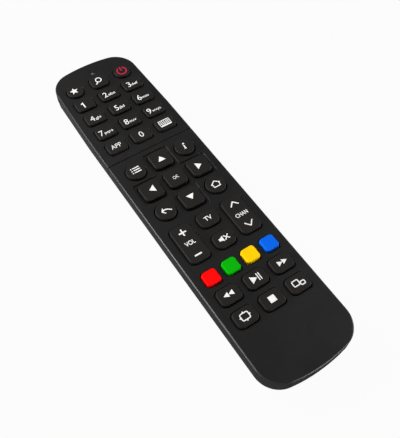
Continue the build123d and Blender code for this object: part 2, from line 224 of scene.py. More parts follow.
# Eroded mould grain: round pits a fraction of a millimetre across, over finer noise
grainValues = {  # noises are scale, detail and roughness
    "pitRange": (0.05, 0.75), "pitShare": 0.65, "fineDetail": 2.0, "fineShare": 0.35,
    "cloudNoise": (42.0, 4.0, 0.6), "cloudRange": (0.35, 0.65),
}


def makeGrainGroup(values):
    inputs = {"Grain per metre": 4000.0, "Fineness": 2.5}
    group, start, end = newGroup("mouldGrain", inputs, ["Height", "Cloud"])
    perMetre = start.outputs["Grain per metre"]
    pits = addNode(group, "ShaderNodeTexVoronoi", feature="SMOOTH_F1")
    group.links.new(objectPlace(group), pits.inputs["Vector"])
    group.links.new(perMetre, pits.inputs["Scale"])
    pit = mapRange(group, pits.outputs["Distance"], *values["pitRange"])
    fineScale = addMath(group, "MULTIPLY", perMetre, start.outputs["Fineness"])
    fine = addNoise(group, fineScale, values["fineDetail"])
    coarse = addMath(group, "MULTIPLY", pit, values["pitShare"])
    height = addMath(group, "ADD", coarse, addMath(group, "MULTIPLY", fine, values["fineShare"]))
    group.links.new(height, end.inputs["Height"])
    cloud = addNoise(group, *values["cloudNoise"])
    group.links.new(mapRange(group, cloud, *values["cloudRange"]), end.inputs["Cloud"])
    return group


# Marks of use: broad finger smudges, and dust that settles on faces that look up
useValues = {
    "smudgeNoise": (5.0, 0.62), "smudgeRange": (0.45, 0.7), "upRange": (0.2, 0.9),
    "speckNoise": (3300.0, 2.0), "speckRange": (0.66, 0.74),
    "patchNoise": (55.0, 3.0), "patchRange": (0.4, 0.65),
}


def makeUseGroup(values):
    inputs = {"Smudges per metre": 70.0, "Dust amount": 0.3}
    group, start, end = newGroup("marksOfUse", inputs, ["Smudge", "Dust"])
    broad = addNoise(group, start.outputs["Smudges per metre"], *values["smudgeNoise"])
    group.links.new(mapRange(group, broad, *values["smudgeRange"]), end.inputs["Smudge"])
    upward = mapRange(group, facingUp(group), *values["upRange"])
    speck = mapRange(group, addNoise(group, *values["speckNoise"]), *values["speckRange"])
    patch = mapRange(group, addNoise(group, *values["patchNoise"]), *values["patchRange"])
    dust = addMath(group, "MULTIPLY", addMath(group, "MULTIPLY", speck, patch), upward)
    group.links.new(addMath(group, "MULTIPLY", dust, start.outputs["Dust amount"]), end.inputs["Dust"])
    return group


# Painted highlight along edges: the narrow faces that lean between a wall and the top get a lighter colour
# that stands in for a bright edge line, and also lower roughness and less grain
edgeValues = {
    "offWall": (0.25, 0.5), "offTop": (0.85, 0.97, 1.0, 0.0),
    "brokenNoise": (900.0, 4.0, 0.6), "brokenRange": (0.35, 0.6, 0.85, 1.0),
}


def makeEdgeGroup(values):
    group, start, end = newGroup("edgeHighlightAndPolish", {"Edge amount": 1.0}, ["Rub"])
    up = facingUp(group)
    offWall = mapRange(group, up, *values["offWall"])
    offTop = mapRange(group, up, *values["offTop"])
    broken = mapRange(group, addNoise(group, *values["brokenNoise"]), *values["brokenRange"])
    edgeWeight = addMath(group, "MULTIPLY", addMath(group, "MULTIPLY", offWall, offTop), broken)
    group.links.new(addMath(group, "MULTIPLY", edgeWeight, start.outputs["Edge amount"]), end.inputs["Rub"])
    return group


grainGroup = makeGrainGroup(grainValues)
useGroup = makeUseGroup(useValues)
edgeGroup = makeEdgeGroup(edgeValues)


# A moulded, rubbed or plated surface from one list of values, with these for what the list leaves out
finishDefaults = {
    "dust": 0.25, "dustColour": (0.32, 0.31, 0.29), "edgePolish": 1.0, "edgeGrain": 0.2, "specular": 0.5,
    "metallic": 0.0, "coat": 0.0, "coatRoughness": 0.12, "bumpDistance": 0.00004,
}
finishInputs = {
    "Specular IOR Level": "specular", "Metallic": "metallic", "Coat Weight": "coat",
    "Coat Roughness": "coatRoughness",
}


def makeFinish(name, values):
    finish = {**finishDefaults, **values}
    material, tree, shader = newMaterial(name)
    grain = placeGroup(tree, grainGroup, {"Grain per metre": finish["grainPerMetre"]})
    use = placeGroup(tree, useGroup, {"Dust amount": finish["dust"]})
    highlightAndPolish = placeGroup(tree, edgeGroup, {}).outputs["Rub"]
    base = mixColour(tree, grain.outputs["Cloud"], finish["colour"], finish["cloudColour"])
    # a lighter colour on the leaning edge faces: painted highlight
    highlighted = mixColour(tree, highlightAndPolish, base, finish["edgeHighlightColour"])
    dusted = mixColour(tree, use.outputs["Dust"], highlighted, finish["dustColour"])
    tree.links.new(dusted, shader.inputs["Base Color"])
    smooth, rough = finish["roughness"]
    smudged = mapRange(tree, use.outputs["Smudge"], 0.0, 1.0, rough, smooth)
    polish = mapRange(tree, highlightAndPolish, 0.0, 1.0, 1.0, finish["edgePolish"])
    tree.links.new(addMath(tree, "MULTIPLY", smudged, polish), shader.inputs["Roughness"])
    for label, value in finishInputs.items():
        shader.inputs[label].default_value = finish[value]
    edgeWeight = mapRange(tree, highlightAndPolish, 0.0, 1.0, 1.0, finish["edgeGrain"])  # the edge faces with the painted highlight also lose their grain
    addBump(tree, shader, addMath(tree, "MULTIPLY", grain.outputs["Height"], edgeWeight), finish)
    return material


def grey(level):
    return level, level, level


def dimmed(colour, share):
    return tuple(share * part for part in colour)


# each edge colour below is a painted highlight on the leaning edge faces
casePlastic = makeFinish("casePlastic", {
    "colour": grey(0.0075), "cloudColour": grey(0.0095), "edgeHighlightColour": grey(0.030), "edgePolish": 0.8,
    "roughness": (0.42, 0.46), "specular": 0.25, "grainPerMetre": 3600.0, "bump": 0.35, "dust": 0.12,
})
keySilicone = makeFinish("keySilicone", {
    "colour": (0.0103, 0.0092, 0.0085), "cloudColour": (0.0123, 0.0110, 0.0102),
    "edgeHighlightColour": (0.0148, 0.0134, 0.0123), "roughness": (0.50, 0.60), "specular": 0.15,
    "grainPerMetre": 5200.0, "bump": 0.22, "dust": 0.12,
})


def colouredSilicone(name, colour):
    return makeFinish(name, {
        "colour": colour, "cloudColour": dimmed(colour, 0.9), "edgeHighlightColour": colour,
        "roughness": (0.42, 0.55), "specular": 0.08, "grainPerMetre": 5200.0, "bump": 0.15, "dust": 0.02,
    })


redSilicone = colouredSilicone("redSilicone", (0.95, 0.0, 0.0))
greenSilicone = colouredSilicone("greenSilicone", (0.0, 0.42, 0.0))
yellowSilicone = colouredSilicone("yellowSilicone", (1.0, 0.62, 0.0))
blueSilicone = colouredSilicone("blueSilicone", (0.0, 0.13, 0.80))


def signInk(name, colour):
    return makeFinish(name, {
        "colour": colour, "cloudColour": dimmed(colour, 0.86), "edgeHighlightColour": colour,
        "roughness": (0.5, 0.62), "specular": 0.3, "grainPerMetre": 7000.0, "bump": 0.12, "dust": 0.0,
    })


whiteInk = signInk("whiteInk", (0.94, 0.94, 0.93))
redInk = signInk("redInk", (0.48, 0.008, 0.045))
windowPlastic = makeFinish("windowPlastic", {
    "colour": (0.006, 0.003, 0.004), "cloudColour": (0.008, 0.003, 0.005),
    "edgeHighlightColour": (0.02, 0.01, 0.012), "roughness": (0.08, 0.16), "coat": 0.5,
    "grainPerMetre": 900.0, "bump": 0.03, "dust": 0.3,
})
lightPipePlastic = makeFinish("lightPipePlastic", {
    "colour": (0.105, 0.088, 0.088), "cloudColour": (0.12, 0.10, 0.10), "edgeHighlightColour": (0.14, 0.125, 0.125),
    "roughness": (0.25, 0.35), "grainPerMetre": 2500.0, "bump": 0.05,
})
matSilicone = makeFinish("matSilicone", {
    "colour": grey(0.03), "cloudColour": grey(0.04), "edgeHighlightColour": grey(0.05),
    "roughness": (0.6, 0.7), "grainPerMetre": 5200.0, "bump": 0.2,
})
chipPlastic = makeFinish("chipPlastic", {
    "colour": (0.012, 0.012, 0.013), "cloudColour": (0.018, 0.018, 0.019), "edgeHighlightColour": grey(0.04),
    "roughness": (0.5, 0.65), "grainPerMetre": 6000.0, "bump": 0.3,
})
nickelStrip = makeFinish("nickelStrip", {
    "colour": (0.60, 0.58, 0.54), "cloudColour": (0.55, 0.53, 0.49), "edgeHighlightColour": (0.7, 0.68, 0.64),
    "roughness": (0.22, 0.34), "metallic": 1.0, "grainPerMetre": 2600.0, "bump": 0.08, "dust": 0.05,
})
capacitorSleeve = makeFinish("capacitorSleeve", {
    "colour": (0.01, 0.02, 0.10), "cloudColour": (0.012, 0.025, 0.12), "edgeHighlightColour": (0.03, 0.05, 0.2),
    "roughness": (0.25, 0.35), "coat": 0.3, "grainPerMetre": 1500.0, "bump": 0.05,
})
ledPackage = makeFinish("ledPackage", {
    "colour": (0.75, 0.74, 0.68), "cloudColour": (0.8, 0.79, 0.74), "edgeHighlightColour": (0.85, 0.85, 0.8),
    "roughness": (0.3, 0.4), "grainPerMetre": 3000.0, "bump": 0.05,
})
emitterLens = makeFinish("emitterLens", {
    "colour": (0.05, 0.06, 0.16), "cloudColour": (0.06, 0.07, 0.18), "edgeHighlightColour": (0.1, 0.12, 0.25),
    "roughness": (0.06, 0.12), "coat": 0.6, "grainPerMetre": 800.0, "bump": 0.02,
})


# Board laminate: green mask over copper tracks that run in straight lanes
boardValues = {
    "lanes": {"Scale": 180.0, "Mortar Size": 0.03, "Brick Width": 1.7, "Row Height": 0.31},
    "mask": (0.010, 0.085, 0.030), "cloudMask": (0.014, 0.105, 0.038), "track": (0.03, 0.19, 0.07),
    "grainPerMetre": 2400.0, "roughness": (0.28, 0.4), "bump": 0.3, "bumpDistance": 0.00003,
}


def makeBoard(values):
    material, tree, shader = newMaterial("boardLaminate")
    lanes = addNode(tree, "ShaderNodeTexBrick")
    tree.links.new(objectPlace(tree), lanes.inputs["Vector"])
    for label, value in values["lanes"].items():
        lanes.inputs[label].default_value = value
    cloud = placeGroup(tree, grainGroup, {"Grain per metre": values["grainPerMetre"]}).outputs["Cloud"]
    mask = mixColour(tree, cloud, values["mask"], values["cloudMask"])
    colour = mixColour(tree, lanes.outputs["Fac"], mask, values["track"])
    tree.links.new(colour, shader.inputs["Base Color"])
    tree.links.new(mapRange(tree, cloud, 0.0, 1.0, *values["roughness"]), shader.inputs["Roughness"])
    addBump(tree, shader, lanes.outputs["Fac"], values)
    return material


boardLaminate = makeBoard(boardValues)
print("finishes made")

# Finishes of the measured parts that keep their own shape
plainFinishes = {
    "keypad_mat": matSilicone, "circuit_board": boardLaminate, "controller_chip": chipPlastic,
    "resonator": nickelStrip, "buffer_capacitor": capacitorSleeve, "led_transistor": chipPlastic,
    "chip_resistors": chipPlastic, "ir_led": emitterLens, "status_led": ledPackage,
    "status_light_pipe": lightPipePlastic, "contact_positive": nickelStrip,
    "contact_negative": nickelStrip, "contact_bridge": nickelStrip,
}
for nodeName, material in plainFinishes.items():
    for slot in nodes[nodeName].material_slots:
        slot.link = "OBJECT"
        slot.material = material


# Kinds of key and the place of each one, in millimetres
keyBlock = {
    "bottom": 15.7, "top": 18.96, "rim": 0.4, "rimSteps": 4, "cornerSteps": 8, "roundSides": 72,
    "draft": 0.3,
}
keyKinds = {  # width, height, corner radius, None for a round key
    "round": (9.0, 9.0, None), "search": (9.6, 9.0, 3.0), "number": (10.3, 7.9, 1.9),
    "menu": (10.0, 10.0, None), "arrow": (10.4, 10.4, 2.2), "ok": (9.8, 9.8, 2.2),
    "rocker": (10.6, 20.4, 2.6), "side": (10.4, 8.6, 3.0), "colour": (7.3, 7.3, 1.6),
    "play": (10.5, 8.2, 2.2),
}
columnPitch = 13.5
arrowPitch = 13.1  # from the OK key to the rows above and below it
rows = {
    "top": 82.0, "one": 71.327, "four": 60.654, "seven": 49.981, "zero": 39.308, "arrows": 8.418,
    "rockers": -24.202, "colours": -42.802, "play": -53.302, "stop": -64.502,
}
overArrows, underArrows = rows["arrows"] + arrowPitch, rows["arrows"] - arrowPitch
keyPlaces = {  # kind of key, place across, place along
    "key_favourite": ("round", -columnPitch, rows["top"]), "key_search": ("search", 0, rows["top"]),
    "key_power": ("round", columnPitch, rows["top"]),
    "key_menu": ("menu", -13.4, overArrows), "key_info": ("menu", 13.4, overArrows),
    "key_back": ("menu", -13.4, underArrows), "key_home": ("menu", 13.4, underArrows),
    "key_up": ("arrow", 0, overArrows), "key_down": ("arrow", 0, underArrows),
    "key_left": ("arrow", -12.9, rows["arrows"]), "key_right": ("arrow", 12.9, rows["arrows"]),
    "key_ok": ("ok", 0, rows["arrows"]),
    "volume_rocker": ("rocker", -columnPitch, rows["rockers"]),
    "channel_rocker": ("rocker", columnPitch, rows["rockers"]),
    "key_tv": ("side", 0, rows["rockers"] + 6.2), "key_mute": ("side", 0, rows["rockers"] - 6.2),
}
keyRows = (  # kind of key, row, keys from left to right
    ("number", "one", ("key_1", "key_2", "key_3")),
    ("number", "four", ("key_4", "key_5", "key_6")),
    ("number", "seven", ("key_7", "key_8", "key_9")),
    ("number", "zero", ("key_app", "key_0", "key_keyboard")),
    ("play", "play", ("key_rewind", "key_play", "key_forward")),
    ("play", "stop", ("key_zoom", "key_stop", "key_picture")),
)
for kind, row, names in keyRows:
    for name, across in zip(names, (-columnPitch, 0, columnPitch)):
        keyPlaces[name] = (kind, across, rows[row])
keyColours = {
    "key_red": redSilicone, "key_green": greenSilicone, "key_yellow": yellowSilicone,
    "key_blue": blueSilicone,
}
colourReach = 15.1
for name, step in zip(keyColours, (-1, -1 / 3, 1 / 3, 1)):
    keyPlaces[name] = ("colour", step * colourReach, rows["colours"])


# Mouldings: a merged copy of the measured shell, with every sharp edge eased as a mould leaves it
mouldings = {
    "front_case": {
        "body": "housing", "easing": 0.12, "material": casePlastic, "slot": "case_plastic",
        "faceHeight": 17.8, "rim": 0.06, "rimBand": 0.5, "rimBend": (35, 55),
        "groovePlace": 30.61, "grooveWidth": 0.5, "grooveDepth": 0.35, "grooveReach": 22.9,
        "grooveSides": 22.5, "grooveBand": 0.3,
    },
    "rear_case": {"body": "housing", "easing": 0.12, "material": casePlastic, "slot": "case_plastic"},
    "battery_cover": {
        "body": "battery_cover", "easing": 0.12, "material": casePlastic, "slot": "case_plastic",
    },
    "ir_window": {"body": "housing", "easing": 0.1, "material": windowPlastic, "slot": "window_plastic"},
}
easingRules = {"mergeReach": 0.001, "mergeAfterCut": 0.002, "sharpAngle": 25, "easingSteps": 2}
keyHoles = {  # the share keeps the two bevels of one slanted cut from meeting
    "gap": 0.25, "around": 1.0, "leastHeight": 1.0, "cornerBend": (30, 60), "steps": 4, "share": 0.97,
}


# Holes whose corners are cut at a slant: the two upright edges of each cut become one round corner
def roundKeyHoles(piece):
    # Upright walls in two halves become whole
    startEdit(piece, "FACE", lambda face: abs(face.normal.z) < 0.01)
    bpy.ops.mesh.tris_convert_to_quads(face_threshold=radians(1), shape_threshold=radians(180))
    endEdit()
    around = keyHoles["around"]
    for kind, (width, height, corner) in keyKinds.items():
        if corner is None:
            continue
        places = [(across, along) for named, across, along in keyPlaces.values() if named == kind]
        wide, tall = width / 2 + around, height / 2 + around

        def atHoleCorner(edge):
            lower, upper = sorted((end.co / mm for end in edge.verts), key=lambda place: place.z)
            tallEnough = upper.z - lower.z > keyHoles["leastHeight"]
            upright = tallEnough and hypot(upper.x - lower.x, upper.y - lower.y) < sameSpot
            near = any(abs(lower.x - x) < wide and abs(lower.y - y) < tall for x, y in places)
            return upright and near and bendsBy(edge, *keyHoles["cornerBend"])

        startEdit(piece, "EDGE", atHoleCorner)
        reach = (corner + keyHoles["gap"]) * tan(radians(90 / 4))
        offset = keyHoles["share"] * reach * mm
        bpy.ops.mesh.bevel(offset=offset, segments=keyHoles["steps"], affect="EDGES", loop_slide=False)
        endEdit()


def roundRim(piece, values):  # the slant round the face turns into a round edge
    def onRim(edge):
        low, high = sorted(end.co.z / mm for end in edge.verts)
        atFace = high - low < sameSpot and low > values["faceHeight"] - values["rimBand"]
        return atFace and bendsBy(edge, *values["rimBend"])

    startEdit(piece, "EDGE", onRim)
    reach = values["rim"] * mm
    bpy.ops.mesh.bevel(offset=reach, segments=easingRules["easingSteps"], affect="EDGES", loop_slide=False)
    endEdit()


def cutGroove(piece, values):  # runs across the face between the grooves of the two sides
    deselectAll()
    bpy.ops.mesh.primitive_cube_add(
        size=1.0, location=(0, values["groovePlace"] * mm, values["faceHeight"] * mm),
        scale=(2 * values["grooveReach"] * mm, values["grooveWidth"] * mm, 2 * values["grooveDepth"] * mm),
    )
    cutter = bpy.context.object
    applyPlace(cutter)
    addModifier(piece, "BOOLEAN", operation="DIFFERENCE", solver="EXACT", object=cutter)
    bpy.data.objects.remove(cutter)
    mergeCorners(piece, easingRules["mergeAfterCut"])


def flattenFace(piece, faceHeight):  # corners that the easing lifted go back down to the face
    high = faceHeight * mm
    startEdit(piece, "VERT", lambda corner: corner.co.z > high)
    bpy.ops.transform.resize(value=(1, 1, 0), center_override=(0, 0, high))
    endEdit()


def easeMoulding(nodeName, values):
    piece = addObject(nodeName + "_moulding", nodes[nodeName].data.copy())
    mergeCorners(piece, easingRules["mergeReach"])
    hasFace = "faceHeight" in values
    if hasFace:
        roundKeyHoles(piece)
        roundRim(piece, values)
        cutGroove(piece, values)

    def inGroove(place):  # where the groove comes down the sides
        besideFace = abs(place.x) > values["grooveSides"]
        return besideFace and abs(place.y - values["groovePlace"]) < values["grooveBand"]

    def isSharp(edge):  # the short edges of the groove on the sides stay as cut
        asCut = hasFace and all(inGroove(end.co / mm) for end in edge.verts)
        return bendsBy(edge, easingRules["sharpAngle"]) and not asCut

    startEdit(piece, "EDGE", isSharp)
    bpy.ops.mesh.bevel(
        offset=values["easing"] * mm, segments=easingRules["easingSteps"], affect="EDGES",
        clamp_overlap=False, loop_slide=False,
    )
    endEdit()
    if hasFace:
        flattenFace(piece, values["faceHeight"])
    shadeByArea(piece)
    setMaterial(piece, values["material"])
    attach(piece, values["body"])
    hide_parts(nodeName)


for nodeName, values in mouldings.items():
    easeMoulding(nodeName, values)
print("mouldings eased")


# Keys: soft blocks with rounded corners and a soft rim, one model of each kind
def modelKey(kind):
    width, height, corner = keyKinds[kind]
    bottom, top = keyBlock["bottom"] * mm, keyBlock["top"] * mm
    middle = (0, 0, (bottom + top) / 2)
    deselectAll()
    if corner is None:
        bpy.ops.mesh.primitive_cylinder_add(
            vertices=keyBlock["roundSides"], radius=width / 2 * mm, depth=top - bottom, location=middle
        )
    else:
        bpy.ops.mesh.primitive_cube_add(size=1, location=middle)
        bpy.context.object.scale = (width * mm, height * mm, top - bottom)
    key = bpy.context.object
    key.name = kind + "KeyModel"
    applyPlace(key)
    if corner is not None:
        startEdit(key, "EDGE", lambda edge: abs(edge.verts[0].co.z - edge.verts[1].co.z) > mm)
        bpy.ops.mesh.bevel(offset=corner * mm, segments=keyBlock["cornerSteps"], affect="EDGES")
        endEdit()
    startEdit(key, "FACE", lambda face: face.normal.z > towards)
    draft = 2 * keyBlock["draft"]
    bpy.ops.transform.resize(value=((width - draft) / width, (height - draft) / height, 1))
    endEdit()
    startEdit(key, "EDGE", lambda edge: min(end.co.z for end in edge.verts) > top - sameSpot * mm)
    bpy.ops.mesh.bevel(offset=keyBlock["rim"] * mm, segments=keyBlock["rimSteps"], affect="EDGES")
    endEdit()
    shadeByArea(key)
    return key


keyModels = {kind: modelKey(kind) for kind in keyKinds}
for name, (kind, across, along) in keyPlaces.items():
    key = addObject(name + "_soft", keyModels[kind].data.copy())
    shiftMesh(key, across, along)
    setMaterial(key, keyColours.get(name, keySilicone))
    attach(key, name)
    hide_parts(name)
for model in keyModels.values():
    bpy.data.objects.remove(model)
print("keys modelled:", len(keyPlaces))


# Printed signs: thin raised ink on the key tops, in millimetres from the middle of each key
ink = {
    "bottom": 18.955, "top": 18.99, "hair": 0.004, "mitre": 0.35, "letterSteps": 5, "cornerSteps": 6,
    "dotSteps": 24, "ringSteps": 48, "openRingSteps": 44,
}


def pointAt(x, y, radius, angle):
    return x + radius * cos(radians(angle)), y + radius * sin(radians(angle))


def arc(x, y, radius, start, end, steps):
    return [pointAt(x, y, radius, start + (end - start) * step / steps) for step in range(steps + 1)]


def circle(x, y, radius, steps):
    return arc(x, y, radius, 0, 360, steps)[:-1]


def turned(points, x, y, turn):
    way = radians(turn)
    return [(x + px * cos(way) - py * sin(way), y + px * sin(way) + py * cos(way)) for px, py in points]


def rectangle(x, y, width, height):
    half, tall = width / 2, height / 2
    return [(x - half, y - tall), (x + half, y - tall), (x + half, y + tall), (x - half, y + tall)]


def roundedRectangle(x, y, width, height, radius):
    half, tall = width / 2 - radius, height / 2 - radius
    points = []
    for cx, cy, turn in ((half, tall, 0), (-half, tall, 90), (-half, -tall, 180), (half, -tall, 270)):
        points += arc(x + cx, y + cy, radius, turn, turn + 90, ink["cornerSteps"])
    return points


def flatShape(outlines):  # closed outlines; one inside another is a hole
    curve = bpy.data.curves.new("flatShape", "CURVE")
    curve.dimensions = "2D"
    curve.fill_mode = "BOTH"
    curve.extrude = (ink["top"] - ink["bottom"]) / 2 * mm
    for outline in outlines:
        spline = curve.splines.new("POLY")
        spline.points.add(len(outline) - 1)
        for point, (x, y) in zip(spline.points, outline):
            point.co = (x * mm, y * mm, 0, 1)
        spline.use_cyclic_u = True
    selectOnly(addObject("flatShape", curve))
    bpy.ops.object.convert(target="MESH")
    return bpy.context.object


def stroke(points, width):  # an open line drawn with a flat pen
    left, right = [], []
    for index, (x, y) in enumerate(points):
        near = points[max(index - 1, 0):index + 2]
        ways = []
        for (ax, ay), (bx, by) in zip(near, near[1:]):
            run = hypot(bx - ax, by - ay)
            ways.append(((bx - ax) / run, (by - ay) / run))
        normal = (-sum(way[1] for way in ways), sum(way[0] for way in ways))
        length = hypot(*normal)
        normal = (normal[0] / length, normal[1] / length)
        lean = abs(normal[0] * -ways[0][1] + normal[1] * ways[0][0])
        reach = width / 2 / max(lean, ink["mitre"])
        left.append((x + normal[0] * reach, y + normal[1] * reach))
        right.append((x - normal[0] * reach, y - normal[1] * reach))
    return flatShape([left + right[::-1]])


def bar(x, y, width, height):
    return flatShape([rectangle(x, y, width, height)])


def ringAt(x, y, outer, width, start=0, end=360):
    if end - start == 360:
        return flatShape([circle(x, y, radius, ink["ringSteps"]) for radius in (outer, outer - width)])
    steps = ink["openRingSteps"]
    return flatShape([arc(x, y, outer, start, end, steps) + arc(x, y, outer - width, end, start, steps)])


def triangle(x, y, turn, reach=1.4, half=1.95):
    return flatShape([turned([(reach, 0), (-reach, half), (-reach, -half)], x, y, turn)])


def cross(x, y, reach, width, turn=0):
    half = width / 2
    corners = []
    for quarter in range(4):
        corners += turned([(half, half), (half, reach), (-half, reach)], 0, 0, 90 * quarter)
    return flatShape([turned(corners, x, y, turn)])


def words(text, x, y, size, align="CENTER", weight=0.0, wide=1.0):
    deselectAll()
    bpy.ops.object.text_add()
    piece = bpy.context.object
    piece.data.body = text
    piece.data.size = size * mm
    piece.data.align_x = align
    piece.data.offset = weight * mm
    piece.data.resolution_u = ink["letterSteps"]
    piece.data.extrude = (ink["top"] - ink["bottom"]) / 2 * mm
    bpy.ops.object.convert(target="MESH")
    piece = bpy.context.object
    piece.data.transform(Matrix.Translation((x * mm, y * mm, 0)) @ Matrix.Diagonal((wide, 1, 1, 1)))
    return piece


def span(piece):  # how far a sign reaches to the left and to the right, in millimetres
    places = [corner.co.x / mm for corner in piece.data.vertices]
    return min(places), max(places)


def printSign(body, shapes, material=whiteInk):
    _, across, along = keyPlaces[body]
    for step, shape in enumerate(shapes):  # shapes that cross each other lie a hair apart
        shiftMesh(shape, 0, 0, -ink["hair"] * step)
    deselectAll()
    for shape in shapes:
        shape.select_set(True)
    bpy.context.view_layer.objects.active = shapes[0]
    if len(shapes) > 1:
        bpy.ops.object.join()
    sign = bpy.context.object
    sign.name = body.replace("key_", "") + "_sign"
    shiftMesh(sign, across, along, (ink["bottom"] + ink["top"]) / 2)
    setMaterial(sign, material)
    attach(sign, body)


# Digits with the letters that phones give them, the pair centred on the key
numberSigns = {
    "digitSize": 4.9, "digitWeight": 0.0, "baseline": -1.85,
    "letterSize": 2.25, "letterWeight": 0.02, "letterBaseline": -1.55, "gap": 0.3,
}
letters = {  # with the width of digit and letters together
    "2": ("abc", 6.3), "3": ("def", 5.5), "4": ("ghi", 5.5), "5": ("jkl", 5.0), "6": ("mno", 6.2),
    "7": ("pqrs", 6.9), "8": ("tuv", 6.3), "9": ("wxyz", 7.3),
}


def printNumber(digit, values):
    shapes = [words(digit, 0, values["baseline"], values["digitSize"], "LEFT", values["digitWeight"])]
    if digit in letters:
        text, pairWidth = letters[digit]
        left, start = span(shapes[0])
        size, weight = values["letterSize"], values["letterWeight"]
        small = words(text, 0, values["letterBaseline"], size, "LEFT", weight)
        low, high = span(small)
        room = pairWidth - values["gap"] - (start - left)
        small.data.transform(Matrix.Diagonal((room / (high - low), 1, 1, 1)))
        shiftMesh(small, start + values["gap"] - span(small)[0], 0)
        shapes.append(small)
    left, right = span(shapes[0])[0], span(shapes[-1])[1]
    for shape in shapes:
        shiftMesh(shape, -(left + right) / 2, 0)
    printSign("key_" + digit, shapes)


for digit in "234567890":
    printNumber(digit, numberSigns)
printSign("key_1", [stroke([(-1.85, 0.3), (-0.87, 0.9), (-0.87, -2.35)], 0.62)])

wordSigns = {  # words, place across and along, size, weight, squeeze
    "key_app": ("APP", -0.2, -1.3, 3.7, 0.0, 0.86), "key_tv": ("TV", 0.0, -1.15, 3.05, 0.05, 1.0),
    "key_ok": ("OK", 0.1, -0.85, 2.5, 0.0, 0.8),
}
for body, (text, x, y, size, weight, wide) in wordSigns.items():
    printSign(body, [words(text, x, y, size, "CENTER", weight, wide)])

star = {"x": -0.5, "y": -0.05, "outer": 2.25, "inner": 1.0, "points": 5}
starPoints = []
for step in range(2 * star["points"]):
    radius = star["outer"] if step % 2 == 0 else star["inner"]
    starPoints.append(pointAt(star["x"], star["y"], radius, 90 + 180 / star["points"] * step))
printSign("key_favourite", [flatShape([starPoints])])
printSign("key_search", [ringAt(0.1, 0.5, 1.7, 0.5), stroke([(-0.95, -0.8), (-2.2, -2.0)], 0.6)])
printSign("key_power", [ringAt(0.05, -0.1, 2.8, 0.78, 118, 422), bar(0.05, 1.4, 0.75, 2.8)], redInk)

keyboard = {
    "width": 6.1, "height": 4.0, "corner": 0.3, "rows": 3, "columns": 6, "left": -2.4, "top": 1.22,
    "columnPitch": 0.96, "rowPitch": 1.0, "holeWidth": 0.68, "holeHeight": 0.8,
}


def keyboardShape(values):
    outlines = [roundedRectangle(0, 0, values["width"], values["height"], values["corner"])]
    for row in range(values["rows"]):
        for column in range(values["columns"]):
            x = values["left"] + values["columnPitch"] * column
            y = values["top"] - values["rowPitch"] * row
            outlines.append(rectangle(x, y, values["holeWidth"], values["holeHeight"]))
    return flatShape(outlines)


printSign("key_keyboard", [keyboardShape(keyboard)])
menuShapes = []
for line in (1.6, 0.3, -1.0):
    menuShapes += [bar(-1.75, line, 0.6, 0.52), bar(0.75, line, 3.4, 0.52)]
printSign("key_menu", menuShapes)
infoStem = [
    (-0.66, -1.5), (0.46, -1.5), (0.46, -1.1), (0.16, -1.1), (0.4, 0.6),
    (-0.52, 0.6), (-0.52, 0.2), (-0.22, 0.2), (-0.42, -1.1), (-0.66, -1.1),
]
printSign("key_info", [flatShape([infoStem]), flatShape([circle(0.32, 1.65, 0.5, ink["dotSteps"])])])

arrowSigns = {  # place across and along, turn
    "key_right": (0.0, 0.0, 0), "key_up": (0.05, -0.15, 90), "key_left": (0.35, 0.05, 180),
    "key_down": (0.05, 0.0, 270),
}
for body, place in arrowSigns.items():
    printSign(body, [triangle(*place)])
printSign("key_home", [
    stroke([(-2.3, 0.0), (0.0, 1.65), (2.25, 0.0)], 0.48),
    stroke([(-1.75, 0.3), (-1.5, -1.65), (1.55, -1.65), (1.8, 0.3)], 0.48),
])
printSign("key_back", [
    stroke([(-0.85, 1.5), (-1.9, 0.0), (-0.6, -1.45)], 0.5),
    stroke([(-1.8, 0.05), (-0.7, 0.5), (0.5, 0.35), (1.5, -0.2), (2.5, -1.1)], 0.54),
])
printSign("volume_rocker", [
    cross(-0.05, 5.75, 1.8, 0.66),
    words("VOL", 0, -1.25, 3.0, "CENTER", 0.05, 0.82),
    bar(-0.15, -6.8, 3.5, 0.72),
])
printSign("channel_rocker", [
    stroke([(-1.75, 4.95), (0.35, 7.15), (2.4, 5.0)], 0.55),
    words("CHAN", 0.25, -1.2, 2.8, "CENTER", 0.04, 0.79),
    stroke([(-1.75, -4.95), (0.3, -7.3), (2.35, -4.95)], 0.55),
])
speaker = [(-2.5, -0.65), (-2.5, 0.65), (-1.6, 0.65), (-0.3, 1.45), (-0.3, -1.45), (-1.6, -0.65)]
printSign("key_mute", [flatShape([speaker]), cross(1.35, 0.0, 1.6, 0.5, 45)])
printSign("key_rewind", [triangle(-1.45, 0.15, 180, 1.2, 1.2), triangle(0.95, 0.15, 180, 1.2, 1.2)])
printSign("key_forward", [triangle(-0.75, 0.05, 0, 1.2, 1.25), triangle(1.6, 0.05, 0, 1.2, 1.25)])
printSign("key_play", [triangle(-0.9, 0, 0, 1.45, 1.75), bar(1.1, 0, 0.45, 3.5), bar(2.1, 0, 0.45, 3.5)])
printSign("key_stop", [bar(0.0, 0.05, 3.05, 2.95)])
zoomFrame = [roundedRectangle(-0.2, 0, 4.2, 3.4, 0.8), roundedRectangle(-0.2, 0, 3.3, 2.5, 0.4)]
zoomShapes = [flatShape(zoomFrame)]
for turn, reach in ((0, 2.1), (90, 1.7), (180, 2.1), (270, 1.7)):  # a point on each side of the frame
    foot, tip = reach - 0.1, reach + 0.65
    zoomShapes.append(flatShape([turned([(foot, 0.5), (foot, -0.5), (tip, 0)], -0.2, 0, turn)]))
printSign("key_zoom", zoomShapes)
printSign("key_picture", [
    flatShape([roundedRectangle(-1.15, 0.2, 3.4, 3.0, 0.8), roundedRectangle(-1.15, 0.2, 2.4, 2.0, 0.35)]),
    flatShape([roundedRectangle(1.6, -0.95, 2.5, 2.1, 0.7), roundedRectangle(1.6, -0.95, 1.5, 1.1, 0.3)]),
])
print("signs printed")


